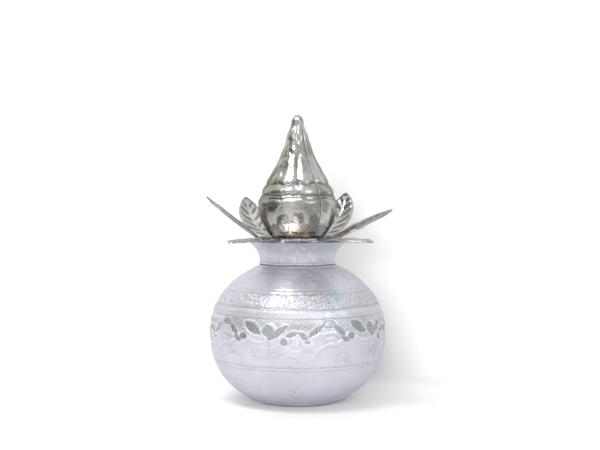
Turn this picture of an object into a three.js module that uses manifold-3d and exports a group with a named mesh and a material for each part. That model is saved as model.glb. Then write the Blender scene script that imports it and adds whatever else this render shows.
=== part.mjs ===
// A kalash: a spun white-metal water pot, a ring of eight pressed leaves on its mouth, and a hollow metal
// coconut standing in the ring. Millimetres, +Z up, the origin at the middle of the flat base. The front is
// towards -Y.
import * as THREE from "three";
import { mergeVertices } from "three/addons/utils/BufferGeometryUtils.js";
import Module from "manifold-3d";

const wasm = await Module();
wasm.setup();

// Sheet and fits
const potWall = 0.8;
const jointGap = 0.3; // filled by solder on the real pot
const seatGap = 0.3; // between pieces that only rest on each other

// Pot body: two superelliptic bowls that meet at the widest circle
const bellyRadius = 49.9;
const widestHeight = 39;
const bellyFullness = 2.25;
const bellyFootRadius = 24;
const shoulderRise = 38.1; // from the widest circle up to the neck
const shoulderFullness = 2.1;
const baseRadius = 22;
const baseThickness = 1;

// Lap joint, where the shoulder's skirt goes over the lip of the belly bowl as a rounded band
const lapRise = 12.5; // from the widest circle up to the skirt's foot
const lapWidth = 4.6;
const skirtProud = 0.25;
const lapGroove = 0.5;

// Turned line pairs, cut shallow into the outside
const lineWidth = 0.9;
const lineDepth = 0.22;
const lowLineDrop = 14.5; // from the widest circle down to the lower pair
const highLineRise = 26; // from the widest circle up to the upper pair

// Neck collar, which carries the mouth
const neckRadius = 21.5;
const neckLedge = 0.3; // by which the shoulder's top stands out round the collar
const neckStubHeight = 2.4;
const neckHeight = 13;
const neckWaistRise = 2.2;
const rimRadius = 28.4;
const rimLand = 1.1; // width of the flat top edge
const mouthFlare = 2.1;
const footRollProud = 0.35;
const footRollHeight = 1.2;

// Leaf ring: a flat washer that lies on the mouth
const ringThickness = 0.8;
const ringInset = 0.5; // from the rim's edge to the ring's
const ringHoleRadius = 13.9;

// Leaves: pressed from sheet, with a border, a midrib and raked side ribs
const leafSheet = 0.6;
const leafLength = 38;
const leafHalfWidth = 9.8;
const leafRootHalfWidth = 6.6;
const leafWidestAt = 0.42;
const leafTipFullness = 3; // 2 is a parabola, and more is blunter
const leafTabLength = 5;
const leafTabHalfWidth = 5; // at the tab's inner end
const leafRootInset = 5; // from the ring's edge to where the leaf bends up
const leafRibs = 7;
const ribRake = 0.2;
const ribHeight = 0.45;
const midribHeight = 0.55;
const borderHeight = 0.22;
const leafCup = 1.1;

// Each leaf was bent by hand. Degrees: turn goes round from the front towards +X, lift is the slope at the
// root, and curl is how much steeper the tip is than the root, so a leaf that droops has negative values.
const leaves = [
  { name: "leaf_front", turn: 1, lift: 0.5, curl: 2 },
  { name: "leaf_front_right", turn: 41, lift: -0.5, curl: -1.8 },
  { name: "leaf_right", turn: 104, lift: 21, curl: 7 },
  { name: "leaf_back_right", turn: 142, lift: 15, curl: 61 },
  { name: "leaf_back", turn: 181, lift: 20, curl: 45 },
  { name: "leaf_back_left", turn: 220, lift: 5, curl: 73 },
  { name: "leaf_left", turn: 267, lift: 34, curl: 8 },
  { name: "leaf_front_left", turn: 324, lift: -0.5, curl: -1.8 },
];

// Coconut: an ogee spire over a round body, fluted, with two turned grooves
const coconutWall = 0.8;
const coconutRadius = 22.3;
const coconutDrop = 24; // from the widest circle down to the bottom
const coconutFullness = 1.75;
const spireRise = 48; // from the widest circle up to where the tip rounds off
const spireRadius = 4.6;
const spireTaper = 0.9; // 1 is an even bell, and less draws the bell in sooner
const tipLength = 5;
const fluteCount = 10;
const fluteDepth = 0.8;
const fluteFadeDrop = 5; // below the widest circle, where the flutes end
const grooveRises = [7.5, 14.6]; // above the widest circle
const grooveDepth = 0.75;
const grooveWidth = 1.3;
const seamTurn = 36; // degrees round from the front towards +X

// Facets
const turnSegments = 44;
const fluteSegments = 4;

// Heights that follow
const lapHeight = widestHeight + lapRise;
const lapTop = lapHeight + lapWidth;
const lowLineHeight = widestHeight - lowLineDrop;
const highLineHeight = widestHeight + highLineRise;
const shoulderTop = widestHeight + shoulderRise;
const shoulderTopRadius = neckRadius + neckLedge;
const collarFoot = shoulderTop + potWall + jointGap;
const potHeight = collarFoot + neckHeight;
const ringFoot = potHeight + seatGap;
const ringTop = ringFoot + ringThickness;
const ringRadius = rimRadius - ringInset;

const degrees = THREE.MathUtils.degToRad;

// A closed geometry as a solid for cutting and joining.
function solidOf(geometry) {
  const bare = geometry.index ? geometry.toNonIndexed() : geometry.clone();
  const positions = new THREE.BufferGeometry();
  positions.setAttribute("position", bare.getAttribute("position"));
  const merged = mergeVertices(positions, 1e-4);
  const corners = merged.index.array;
  const kept = [];
  for (let i = 0; i < corners.length; i += 3) {
    const [a, b, c] = corners.slice(i, i + 3);
    if (a !== b && b !== c && c !== a) kept.push(a, b, c);
  }
  return new wasm.Manifold(
    new wasm.Mesh({
      numProp: 3,
      vertProperties: merged.getAttribute("position").array,
      triVerts: new Uint32Array(kept),
    }),
  );
}

function geometryOf(solid) {
  const mesh = solid.getMesh();
  const geometry = new THREE.BufferGeometry();
  geometry.setAttribute("position", new THREE.BufferAttribute(mesh.vertProperties, 3));
  geometry.setIndex(new THREE.BufferAttribute(mesh.triVerts, 1));
  geometry.computeVertexNormals();
  return geometry;
}

// Turns a profile of [radius, height] points about Z. The points run up the outside and down the inside.
function revolve(profile) {
  const points = profile.map(([radius, height]) => new THREE.Vector2(radius, height));
  return new THREE.LatheGeometry(points, turnSegments).rotateX(Math.PI / 2);
}

// The same line moved inwards by a sheet's thickness, point by point along its own normal.
function inside(line, thickness) {
  return line.map(([radius, height], i) => {
    const before = line[Math.max(i - 1, 0)];
    const after = line[Math.min(i + 1, line.length - 1)];
    const along = new THREE.Vector2(after[0] - before[0], after[1] - before[1]).normalize();
    return [radius - along.y * thickness, height + along.x * thickness];
  });
}

// Quarter of a superellipse: 1 at share 0, falling to 0 at share 1.
function superellipse(share, fullness) {
  return Math.max(1 - Math.min(share, 1) ** fullness, 0) ** (1 / fullness);
}

// Heights from one end to the other, closer together towards the steeper curve at the far end.
function heightsBetween(from, to, count) {
  const quarter = Math.PI / 2;
  return Array.from({ length: count + 1 }, (_, i) => from + (to - from) * Math.sin((i / count) * quarter));
}

// Outside radius of the spun body at a height.
function bodyRadius(height) {
  const above = height > widestHeight;
  const fullness = above ? shoulderFullness : bellyFullness;
  const endRadius = above ? shoulderTopRadius : bellyFootRadius;
  const endHeight = above ? shoulderTop : baseThickness;
  const reach = Math.abs(endHeight - widestHeight) / superellipse(endRadius / bellyRadius, fullness);
  return bellyRadius * superellipse(Math.abs(height - widestHeight) / reach, fullness);
}

function bodyLine(from, to, count) {
  return heightsBetween(from, to, count).map((height) => [bodyRadius(height), height]);
}

// A pair of turned lines at a height, as points on the body's outside.
function linePair(height) {
  const cuts = [-1, -0.5, 0, 0.5, 1];
  return cuts.map((cut) => {
    const at = height + cut * 2 * lineWidth;
    const depth = Math.abs(cut) === 0.5 ? lineDepth : 0;
    return [bodyRadius(at) - depth, at];
  });
}

function baseDisc() {
  return revolve([
    [0, 0],
    [baseRadius, 0],
    [baseRadius, baseThickness],
    [0, baseThickness],
  ]);
}

// The belly: flat underneath, round up to a ledge, then a lip that tucks up inside the shoulder's skirt.
function bellyBowl() {
  const ledge = lapHeight - potWall;
  const lipInset = potWall + jointGap;
  const lineEnd = lowLineHeight + 2 * lineWidth;
  const below = bodyLine(lowLineHeight - 2 * lineWidth, baseThickness, 6).reverse();
  const middle = bodyLine(lineEnd, ledge, 4).slice(1);
  const outer = [...below.slice(0, -1), ...linePair(lowLineHeight), ...middle];
  const inner = inside([...below.slice(0, -1), ...bodyLine(lowLineHeight, ledge, 4)], potWall);
  const lip = [
    [bodyRadius(lapHeight), lapHeight],
    [bodyRadius(lapHeight) - lipInset, lapHeight],
    [bodyRadius(lapTop) - lipInset, lapTop],
    [bodyRadius(lapTop) - lipInset - potWall, lapTop],
    [bodyRadius(ledge) - lipInset - potWall, ledge],
  ];
  const floor = baseThickness + potWall;
  const innerWall = inner.filter(([, height]) => height > floor + potWall).reverse();
  const floorRadius = bodyRadius(floor + potWall) - 2 * potWall;
  return revolve([[0, baseThickness], ...outer, ...lip, ...innerWall, [floorRadius, floor], [0, floor]]);
}

// The shoulder: a skirt over the lap, the round shoulder, and a stub that stands up inside the neck collar.
function shoulderShell() {
  const stubRadius = neckRadius - potWall - jointGap;
  const stubFoot = shoulderTop + potWall;
  const stubTop = stubFoot + neckStubHeight;
  const skirtFoot = lapHeight + jointGap;
  const skirtMiddle = lapHeight + lapWidth / 2;
  const lineEnd = highLineHeight + 2 * lineWidth;
  const skirt = [
    [bodyRadius(skirtFoot) + skirtProud, skirtFoot],
    [bodyRadius(skirtMiddle) + 2 * skirtProud, skirtMiddle],
    [bodyRadius(lapTop) + skirtProud, lapTop],
    [bodyRadius(lapTop + lapGroove) - lineDepth, lapTop + lapGroove],
  ];
  const lower = bodyLine(lapTop + 2 * lapGroove, highLineHeight - 2 * lineWidth, 2).slice(0, -1);
  const upper = bodyLine(lineEnd, shoulderTop, 5).slice(1);
  const stub = [
    [stubRadius, stubFoot],
    [stubRadius, stubTop],
  ];
  const outer = [...skirt, ...lower, ...linePair(highLineHeight), ...upper, ...stub];
  const innerFrom = lapTop + jointGap + potWall;
  const innerCurve = inside(bodyLine(innerFrom, shoulderTop, 7), potWall);
  const inner = [
    [bodyRadius(skirtFoot) - potWall, skirtFoot],
    [bodyRadius(lapTop) - potWall, lapTop],
    ...innerCurve.filter(([radius]) => radius > stubRadius - potWall),
    [stubRadius - potWall, shoulderTop],
    [stubRadius - potWall, stubTop],
  ];
  return revolve([...outer, ...inner.reverse(), outer[0]]);
}

// The neck collar: a thin roll round its foot, a waist, and the flared mouth with a flat rim.
function neckCollar() {
  const waist = collarFoot + neckWaistRise;
  const mouth = [0.25, 0.45, 0.62, 0.77, 0.89, 1].map((share) => {
    return [neckRadius + (rimRadius - neckRadius) * share ** mouthFlare, waist + (potHeight - waist) * share];
  });
  const outer = [
    [neckRadius, collarFoot],
    [neckRadius + footRollProud, collarFoot + footRollHeight * 0.3],
    [neckRadius + footRollProud, collarFoot + footRollHeight * 0.7],
    [neckRadius, collarFoot + footRollHeight],
    [neckRadius, waist],
    ...mouth,
  ];
  const throat = inside([[neckRadius, waist], ...mouth], potWall).slice(0, -1);
  const inner = [[neckRadius - potWall, collarFoot], ...throat, [rimRadius - rimLand, potHeight]];
  return revolve([...outer, ...inner.reverse(), outer[0]]);
}

function leafRing() {
  return revolve([
    [ringHoleRadius, ringFoot],
    [ringRadius, ringFoot],
    [ringRadius, ringTop],
    [ringHoleRadius, ringTop],
    [ringHoleRadius, ringFoot],
  ]);
}

// The coconut's widest circle is as high above the ring as its round underside, seated in the hole, puts it.
const seatShare = superellipse((ringHoleRadius - seatGap) / coconutRadius, coconutFullness);
const coconutWidest = ringTop + coconutDrop * seatShare;
const coconutBottom = coconutWidest - coconutDrop;
const spireTop = coconutWidest + spireRise;
const coconutTip = spireTop + tipLength;

// Coconut radius at a height, without its flutes.
function coconutProfile(height) {
  const rise = height - coconutWidest;
  if (rise <= 0) return coconutRadius * superellipse(-rise / coconutDrop, coconutFullness);
  const share = Math.min(rise / spireRise, 1);
  const bell = (1 + Math.cos(Math.PI * share ** spireTaper)) / 2;
  const radius = spireRadius + (coconutRadius - spireRadius) * bell;
  return radius * superellipse(Math.max(height - spireTop, 0) / tipLength, 2);
}

// How deep the turned grooves are at a height.
function grooveAt(height) {
  const nearest = Math.min(...grooveRises.map((rise) => Math.abs(height - coconutWidest - rise)));
  return grooveDepth * Math.max(1 - nearest / grooveWidth, 0);
}

// How strongly the flutes show at a height: full round the spire's foot, fading to the tip, and gone a little
// below the widest circle.
function fluteAt(height) {
  const rise = height - coconutWidest;
  if (rise < 0) return Math.max(1 + rise / fluteFadeDrop, 0);
  return Math.min(1, (1.8 * (coconutTip - height)) / (coconutTip - coconutWidest));
}

function coconutSurface(turn, height) {
  const valley = 1 - Math.abs(Math.sin((turn * fluteCount) / 2));
  return coconutProfile(height) - fluteDepth * fluteAt(height) * valley - grooveAt(height);
}

// A closed surface round Z from its bottom point to its tip: radiusAt(turn, height) at each listed height.
function fluted(heights, bottom, top, radiusAt) {
  const around = fluteCount * fluteSegments;
  const points = [[0, 0, bottom]];
  for (const height of heights) {
    for (let i = 0; i < around; i++) {
      const turn = (i / around) * 2 * Math.PI;
      const radius = radiusAt(turn, height);
      points.push([radius * Math.sin(turn), -radius * Math.cos(turn), height]);
    }
  }
  points.push([0, 0, top]);
  const faces = [];
  const at = (row, i) => 1 + row * around + (i % around);
  for (let i = 0; i < around; i++) {
    faces.push(0, at(0, i + 1), at(0, i));
    for (let row = 0; row + 1 < heights.length; row++) {
      faces.push(at(row, i), at(row, i + 1), at(row + 1, i + 1));
      faces.push(at(row, i), at(row + 1, i + 1), at(row + 1, i));
    }
    faces.push(at(heights.length - 1, i), at(heights.length - 1, i + 1), points.length - 1);
  }
  const geometry = new THREE.BufferGeometry();
  geometry.setAttribute("position", new THREE.Float32BufferAttribute(points.flat(), 3));
  geometry.setIndex(faces);
  return solidOf(geometry);
}

function coconutShell() {
  const below = [0.04, 0.14, 0.32, 0.55, 0.8, 1].map((share) => coconutBottom + coconutDrop * share);
  const acrossGroove = [-grooveWidth, 0, grooveWidth];
  const grooves = grooveRises.flatMap((rise) => acrossGroove.map((by) => coconutWidest + rise + by));
  const bandMiddle = coconutWidest + (grooveRises[0] + grooveRises[1]) / 2;
  const spireFoot = Math.max(...grooves);
  const spire = [0.25, 0.5, 0.75, 1].map((share) => spireFoot + (spireTop - spireFoot) * share);
  const tip = [0.45, 0.75, 0.93].map((share) => spireTop + tipLength * share);
  const heights = [...below, ...grooves, bandMiddle, ...spire, ...tip].sort((a, b) => a - b);
  const outer = fluted(heights, coconutBottom, coconutTip, coconutSurface);
  const innerBottom = coconutBottom + coconutWall;
  const innerTop = coconutTip - tipLength / 2;
  const hollow = heights.filter((height) => height > innerBottom && height < innerTop - coconutWall);
  const inner = fluted(hollow, innerBottom, innerTop, (turn, height) => {
    const lean = Math.max(coconutWidest - height, 0) / coconutDrop;
    return Math.max(coconutSurface(turn, height) - coconutWall * (1 + lean), coconutWall);
  });
  return outer.subtract(inner);
}

// Half of the coconut's shell, on one side of the seam through its axis.
function coconutHalf(side) {
  const size = 2 * (coconutTip - coconutBottom);
  const box = new THREE.BoxGeometry(size, size, size);
  box.translate(0, side * (size / 2 + jointGap / 2), coconutWidest);
  box.rotateZ(degrees(seamTurn - 90));
  return geometryOf(coconutShell().intersect(solidOf(box)));
}

// Half width of a leaf at a share of its length.
function leafHalfWidthAt(share) {
  if (share < leafWidestAt) {
    const back = (leafWidestAt - share) / leafWidestAt;
    return leafHalfWidth - (leafHalfWidth - leafRootHalfWidth) * back ** 2;
  }
  return leafHalfWidth * (1 - ((share - leafWidestAt) / (1 - leafWidestAt)) ** leafTipFullness);
}

// Height of the pressed relief over the plain sheet: side 0 is the midrib and side 1 the edge.
function leafRelief(row, rows, side) {
  const share = row / rows;
  const fade = Math.min(1, 4 * share, 4 * (1 - share));
  if (side === 0) return midribHeight * fade;
  if (side === 1) return borderHeight * fade;
  return row % 2 ? ribHeight * fade : 0;
}

// A leaf that points along +X from its root at the origin, with its tab behind it.
function leafBlade(lift, curl) {
  const rows = 2 * leafRibs + 1;
  const sides = [-1, -0.86, -0.45, 0, 0.45, 0.86, 1];
  const start = degrees(lift);
  const bend = degrees(curl);
  const tilt = (share) => start + bend * share;
  const spine = (share) => [
    (leafLength / bend) * (Math.sin(tilt(share)) - Math.sin(start)),
    (leafLength / bend) * (Math.cos(start) - Math.cos(tilt(share))),
  ];
  const top = [];
  const bottom = [];
  const add = (share, across, relief) => {
    const [along, up] = spine(share);
    const lean = tilt(share);
    for (const [surface, height] of [[top, relief + leafSheet], [bottom, relief]]) {
      surface.push([along - Math.sin(lean) * height, across, up + Math.cos(lean) * height]);
    }
  };
  for (const side of sides) {
    top.push([-leafTabLength, side * leafTabHalfWidth, leafSheet]);
    bottom.push([-leafTabLength, side * leafTabHalfWidth, 0]);
  }
  for (let row = 0; row < rows; row++) {
    for (const side of sides) {
      const share = row / rows;
      const raked = share + ribRake * Math.abs(side) * 4 * share * (1 - share);
      const cup = leafCup * side ** 2 * Math.sin(Math.PI * raked);
      add(raked, side * leafHalfWidthAt(raked), leafRelief(row, rows, Math.abs(side)) + cup);
    }
  }
  add(1, 0, 0);
  return sheetGeometry(top, bottom, rows + 1, sides.length);
}

// Closes a grid of top points and the same grid of bottom points, both ending in one tip point.
function sheetGeometry(top, bottom, rows, columns) {
  const under = top.length;
  const tip = top.length - 1;
  const at = (row, column) => row * columns + column;
  const faces = [];
  const both = (a, b, c) => faces.push(a, b, c, under + c, under + b, under + a);
  for (let row = 0; row + 1 < rows; row++) {
    for (let column = 0; column + 1 < columns; column++) {
      both(at(row, column), at(row + 1, column), at(row + 1, column + 1));
      both(at(row, column), at(row + 1, column + 1), at(row, column + 1));
    }
  }
  for (let column = 0; column + 1 < columns; column++) {
    both(at(rows - 1, column), tip, at(rows - 1, column + 1));
  }
  const left = Array.from({ length: rows }, (_, row) => at(row, 0));
  const right = Array.from({ length: rows }, (_, row) => at(row, columns - 1)).reverse();
  const root = Array.from({ length: columns - 2 }, (_, i) => at(0, columns - 2 - i));
  const edge = [...left, tip, ...right, ...root];
  edge.forEach((a, i) => {
    const b = edge[(i + 1) % edge.length];
    faces.push(a, under + a, under + b, a, under + b, b);
  });
  const geometry = new THREE.BufferGeometry();
  geometry.setAttribute("position", new THREE.Float32BufferAttribute([...top, ...bottom].flat(), 3));
  geometry.setIndex(faces);
  geometry.computeVertexNormals();
  return geometry;
}

const potSilver = new THREE.MeshStandardMaterial({ color: 0xd9d8e0, roughness: 0.32, metalness: 1 });
const leafSilver = new THREE.MeshStandardMaterial({ color: 0xc9c7c4, roughness: 0.2, metalness: 1 });
const coconutSilver = new THREE.MeshStandardMaterial({ color: 0xbcbab4, roughness: 0.14, metalness: 1 });

function piece(parent, name, geometry, material) {
  const mesh = new THREE.Mesh(geometry, material);
  mesh.name = name;
  parent.add(mesh);
  return mesh;
}

const pot = new THREE.Group();
piece(pot, "base_disc", baseDisc(), potSilver);
piece(pot, "belly_bowl", bellyBowl(), potSilver);
piece(pot, "shoulder_shell", shoulderShell(), potSilver);
piece(pot, "neck_collar", neckCollar(), potSilver);

const leafSet = new THREE.Group();
piece(leafSet, "leaf_ring", leafRing(), leafSilver);
for (const { name, turn, lift, curl } of leaves) {
  const place = new THREE.Group();
  place.rotation.z = degrees(turn - 90);
  const leaf = piece(place, name, leafBlade(lift, curl), leafSilver);
  leaf.position.set(ringRadius - leafRootInset, 0, ringTop + jointGap);
  leafSet.add(place);
}

const coconut = new THREE.Group();
piece(coconut, "coconut_front_half", coconutHalf(-1), coconutSilver);
piece(coconut, "coconut_back_half", coconutHalf(1), coconutSilver);

const kalash = new THREE.Group();
kalash.add(pot, leafSet, coconut);

export default kalash;
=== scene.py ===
import math

import bmesh
import bpy
import numpy as np
from mathutils import Matrix, Vector

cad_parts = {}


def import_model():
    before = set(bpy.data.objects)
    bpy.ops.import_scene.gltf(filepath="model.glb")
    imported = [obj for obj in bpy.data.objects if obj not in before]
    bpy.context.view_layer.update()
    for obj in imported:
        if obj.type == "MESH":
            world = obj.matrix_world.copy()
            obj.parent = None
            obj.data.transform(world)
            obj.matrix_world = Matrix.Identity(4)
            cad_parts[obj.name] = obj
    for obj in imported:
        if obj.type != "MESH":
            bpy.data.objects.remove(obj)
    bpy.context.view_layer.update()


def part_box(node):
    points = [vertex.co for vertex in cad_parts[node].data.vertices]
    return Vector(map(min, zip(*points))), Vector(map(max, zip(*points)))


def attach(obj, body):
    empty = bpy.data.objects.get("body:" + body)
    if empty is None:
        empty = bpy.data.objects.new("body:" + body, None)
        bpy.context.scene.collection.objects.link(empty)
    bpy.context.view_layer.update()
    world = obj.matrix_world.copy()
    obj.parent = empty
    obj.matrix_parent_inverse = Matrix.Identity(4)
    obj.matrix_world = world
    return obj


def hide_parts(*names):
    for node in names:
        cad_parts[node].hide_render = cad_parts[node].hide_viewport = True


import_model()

MM = 0.001

# Camera: as the photograph's, level with the upper part of the leaves
CAMERA_DISTANCE = 0.627
CAMERA_HEIGHT = 0.120
CAMERA_ASIDE = 0.0014
CAMERA_PITCH = math.radians(1.82)
LENS = 66.0

# Pot body, as in the solids, in millimetres: two superelliptic bowls that meet at the widest circle
POT_WALL = 0.8
BELLY_RADIUS = 49.9
WIDEST_HEIGHT = 39.0
BELLY_FULLNESS = 2.25
BELLY_FOOT_RADIUS = 24.0
SHOULDER_RISE = 38.1
SHOULDER_FULLNESS = 2.1
JOINT_GAP = 0.3
NECK_RADIUS = 21.5
NECK_LEDGE = 0.3
NECK_STUB_HEIGHT = 2.4
NECK_WAIST_RISE = 2.2
MOUTH_FLARE = 2.1
RIM_LAND = 1.1
SKIRT_PROUD = 0.25
LAP_RISE = 12.5
LAP_WIDTH = 4.6
LAP_GROOVE = 0.5

# Heights taken from the solids
BASE_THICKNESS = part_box("base_disc")[1].z / MM
BASE_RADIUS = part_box("base_disc")[1].x / MM
POT_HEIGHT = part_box("neck_collar")[1].z / MM
RIM_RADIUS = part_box("neck_collar")[1].x / MM
COLLAR_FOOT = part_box("neck_collar")[0].z / MM
RING_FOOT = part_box("leaf_ring")[0].z / MM
RING_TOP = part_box("leaf_ring")[1].z / MM
RING_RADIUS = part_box("leaf_ring")[1].x / MM
RING_HOLE_RADIUS = 13.9
COCONUT_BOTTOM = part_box("coconut_front_half")[0].z / MM
COCONUT_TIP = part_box("coconut_front_half")[1].z / MM
SHOULDER_TOP = WIDEST_HEIGHT + SHOULDER_RISE
LAP_HEIGHT = WIDEST_HEIGHT + LAP_RISE
LAP_TOP = LAP_HEIGHT + LAP_WIDTH

# Turned lines: height, depth and half width
LOW_LINES = [(25.5, 0.26, 0.42), (23.6, 0.2, 0.4)]
SHOULDER_LINES = [(53.4, 0.2, 0.35), (64.2, 0.22, 0.4), (66.0, 0.16, 0.35), (74.6, 0.14, 0.4)]

# Punched dots along the middle of the lap band
BAND_DOTS = 225
DOT_RISE = 2.3
DOT_DEPTH = 0.09

# Ornament round the belly: one repeat, in millimetres along the widest circle from the middle of its arch
REPEATS = 5
ARCH_TURN = -51.5
STRIP_LOW = 25.9
STRIP_HIGH = 51.3
BELLY_PROUD = 0.3

# Hollow leaves: start, end and width
HOLLOW_LEAVES = [
    ((2.8, 48.4), (9.8, 42.6), 3.5),
    ((-3.4, 48.4), (-12.0, 42.2), 3.4),
    ((13.4, 49.8), (24.6, 43.8), 5.6),
    ((28.0, 40.4), (39.6, 48.4), 3.6),
    ((6.6, 42.2), (12.4, 39.4), 3.0),
    ((38.4, 42.4), (45.2, 44.6), 3.0),
    ((45.2, 44.9), (50.5, 40.8), 3.2),
]

# Berries and petals: centre, width and height
BERRIES = [((0, 49.0), 7.4, 4.4), ((28.6, 45.4), 6.8, 6.6), ((13.6, 42.2), 5.2, 3.8)]
PETALS = [((37.5, 39.7), 4.0, 4.4), ((50.3, 39.5), 3.4, 2.0)]
FLOWER = (43.4, 39.8)
SWAG = (27, 50.2)

# Bends of the stem and of the curl at its end
STEM = [
    (4.8, 38.9),
    (9.2, 41.6),
    (11.8, 44.2),
    (15.8, 42.7),
    (19.7, 40.2),
    (24.2, 39.4),
    (28.7, 41.2),
    (31.6, 44.4),
]
CURL = [(31.9, 42.6), (33.4, 45.6), (31.4, 48.4), (28.2, 48.8)]

# Rows of beads: centre, radius, from and to in degrees, and pitch
BEADS = [((0, 30), 14.2, 62, 118, 1.5), (SWAG, 14.0, -122, -52, 1.5), (FLOWER, 1.7, -180, 180, 1.5)]

# Raised crests and faint scored arcs: centre, radius, from and to in degrees
CRESTS = [((1.3, 26), 12.4, 78, 160), (FLOWER, 5.0, -140, -60)]
FAINT_ARCS = [
    ((0.5, 34), 5.8, 40, 150),
    ((0.5, 34), 8.4, 48, 132),
    ((1.3, 26), 10.4, 70, 150),
    ((7.5, 28), 5.2, -40, 130),
    (SWAG, 19.5, -112, -62),
    ((-12, 28), 6.4, 60, 170),
    ((33, 27), 6.8, 50, 150),
    ((41, 26), 5.0, 20, 120),
    (FLOWER, 3.6, -120, 20),
]

# Smooth place on the lower belly, without creases: its left and right turn, foot and head
SMOOTH_PLACE = (-40, -8, 14.0, 23.0)

# Combed fields: left, right, foot and head, and how strongly
COMBED = [(32, 58, 45.6, 49.6, 1.0), (14, 31, 46.5, 50.5, 0.6), (-8, 10, 46, 50.5, 0.5)]

# Leaves, as in the solids: turn from the front towards +X, lift at the root, and how much steeper the tip is.
# Then how far the whole leaf is darkened as painted shade, set leaf by leaf, and how far its edges are cupped
# up, in millimetres.
LEAVES = [
    ("leaf_front", 1, 0.5, 2, 0.05, 0.4),
    ("leaf_front_right", 41, -0.5, -1.8, 0.2, 0.2),
    ("leaf_right", 104, 21, 7, 0.6, 0.9),
    ("leaf_back_right", 142, 15, 61, 0.5, 1.1),
    ("leaf_back", 181, 20, 45, 0.25, 1.1),
    ("leaf_back_left", 220, 5, 73, 0.0, 1.1),
    ("leaf_left", 267, 34, 8, 0.65, 0.4),
    ("leaf_front_left", 324, -0.5, -1.8, 0.3, 0.2),
]
LEAF_SHEET = 0.6
LEAF_LENGTH = 38.0
LEAF_HALF_WIDTH = 9.8
LEAF_ROOT_HALF_WIDTH = 6.6
LEAF_WIDEST_AT = 0.42
LEAF_TIP_FULLNESS = 3.0
LEAF_TAB_LENGTH = 5.0
LEAF_TAB_HALF_WIDTH = 5.0
LEAF_ROOT_INSET = 5.0
LEAF_RIBS = 7
RIB_RAKE = 0.2
RIB_HEIGHT = 0.45
MIDRIB_HEIGHT = 0.55
BORDER_HEIGHT = 0.3
BORDER_FROM = 0.86
TIP_CLEARANCE = 0.15

# Coconut: the body as in the solids, and the spire a little fuller, with a slimmer tip
COCONUT_WALL = 0.8
COCONUT_RADIUS = 22.3
COCONUT_DROP = 24.0
COCONUT_FULLNESS = 1.75
SPIRE_RISE = 48.0
SPIRE_RADIUS = 4.6
SPIRE_TAPER = 0.9
SPIRE_SWELL = 0.75
SPIRE_SWELL_AT = 0.8
TIP_THINNING = 1.2
FLUTES = 10
FLUTE_DEPTH = 0.8
FLUTE_SOFTNESS = 0.05
FLUTE_FADE_DROP = 5.0
DEEP_FLUTES = (0, 36, 144, 216, 288)
FAINT_FLUTE = 0.3
GROOVE_LOW_RISE = 7.3
GROOVE_HIGH_RISE = 13.2
GROOVE_SCALLOP = 0.9
STEP_RISE = 5.4
BAND_RISES = (3.2, 10.0)
BAND_BULGE = 0.4
SEAM_TURN = 36.0
COCONUT_WIDEST = COCONUT_BOTTOM + COCONUT_DROP
SPIRE_TOP = COCONUT_WIDEST + SPIRE_RISE
TIP_LENGTH = COCONUT_TIP - SPIRE_TOP

# Waves that make up an unevenness
WAVES = 28

# Steps round each turned piece, rings up the coconut, and grids of leaf and seam, along and across
BELLY_STEPS = 640
SHOULDER_STEPS = 4 * BAND_DOTS
COLLAR_STEPS = 360
BASE_STEPS = 200
RING_STEPS = 240
COCONUT_STEPS = 320
COCONUT_RINGS = 210
LEAF_GRID = (112, 44)
SEAM_GRID = (150, 8)

# Points closer than this are one, in metres
SAME_POINT = 1e-6


def superellipse(share, fullness):
    """Quarter of a superellipse: 1 at share 0, falling to 0 at share 1."""
    return np.maximum(1 - np.minimum(share, 1) ** fullness, 0) ** (1 / fullness)


def soft_step(value, start, end):
    share = np.clip((value - start) / (end - start), 0, 1)
    return share * share * (3 - 2 * share)


def bump_at(distance, width):
    """A smooth rise: 1 at distance 0, fading over that width."""
    return np.exp(-((distance / width) ** 2))


def body_reach(above):
    """Full height of the superellipse that the belly or the shoulder is cut from."""
    fullness = SHOULDER_FULLNESS if above else BELLY_FULLNESS
    end_radius = NECK_RADIUS + NECK_LEDGE if above else BELLY_FOOT_RADIUS
    end_height = SHOULDER_TOP if above else BASE_THICKNESS
    return abs(end_height - WIDEST_HEIGHT) / superellipse(end_radius / BELLY_RADIUS, fullness)


def body_radius(height):
    """Outside radius of the pot at a height."""
    height = np.asarray(height, float)
    above = superellipse(np.abs(height - WIDEST_HEIGHT) / body_reach(True), SHOULDER_FULLNESS)
    below = superellipse(np.abs(height - WIDEST_HEIGHT) / body_reach(False), BELLY_FULLNESS)
    return BELLY_RADIUS * np.where(height > WIDEST_HEIGHT, above, below)


def lengths_along(heights, radii):
    """How far along a line each of its points lies."""
    return np.concatenate([[0], np.cumsum(np.hypot(np.diff(heights), np.diff(radii)))])


def body_line(start, end, spacing):
    """Points on the pot's outside from one height to another, about that far apart along the curve."""
    fine = np.linspace(start, end, 400)
    along = lengths_along(fine, body_radius(fine))
    marks = np.linspace(0, along[-1], max(int(along[-1] / spacing), 1) + 1)
    heights = np.interp(marks, along, fine)
    return list(zip(body_radius(heights), heights))


def inside(line, thickness):
    """The same line moved inwards by a sheet's thickness."""
    moved = []
    for i, (radius, height) in enumerate(line):
        before = line[max(i - 1, 0)]
        after = line[min(i + 1, len(line) - 1)]
        along = Vector((after[0] - before[0], after[1] - before[1])).normalized()
        moved.append((radius - along.y * thickness, height + along.x * thickness))
    return moved


def turn_about_axis(bm, line, steps):
    """Spins a line of points and edges a full turn, closes seam and poles, and turns the faces outwards."""
    whole = 2 * math.pi
    bmesh.ops.spin(bm, geom=line, axis=(0, 0, 1), cent=(0, 0, 0), angle=whole, steps=steps, use_merge=True)
    bmesh.ops.remove_doubles(bm, verts=bm.verts, dist=SAME_POINT)
    bmesh.ops.recalc_face_normals(bm, faces=bm.faces)


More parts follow.
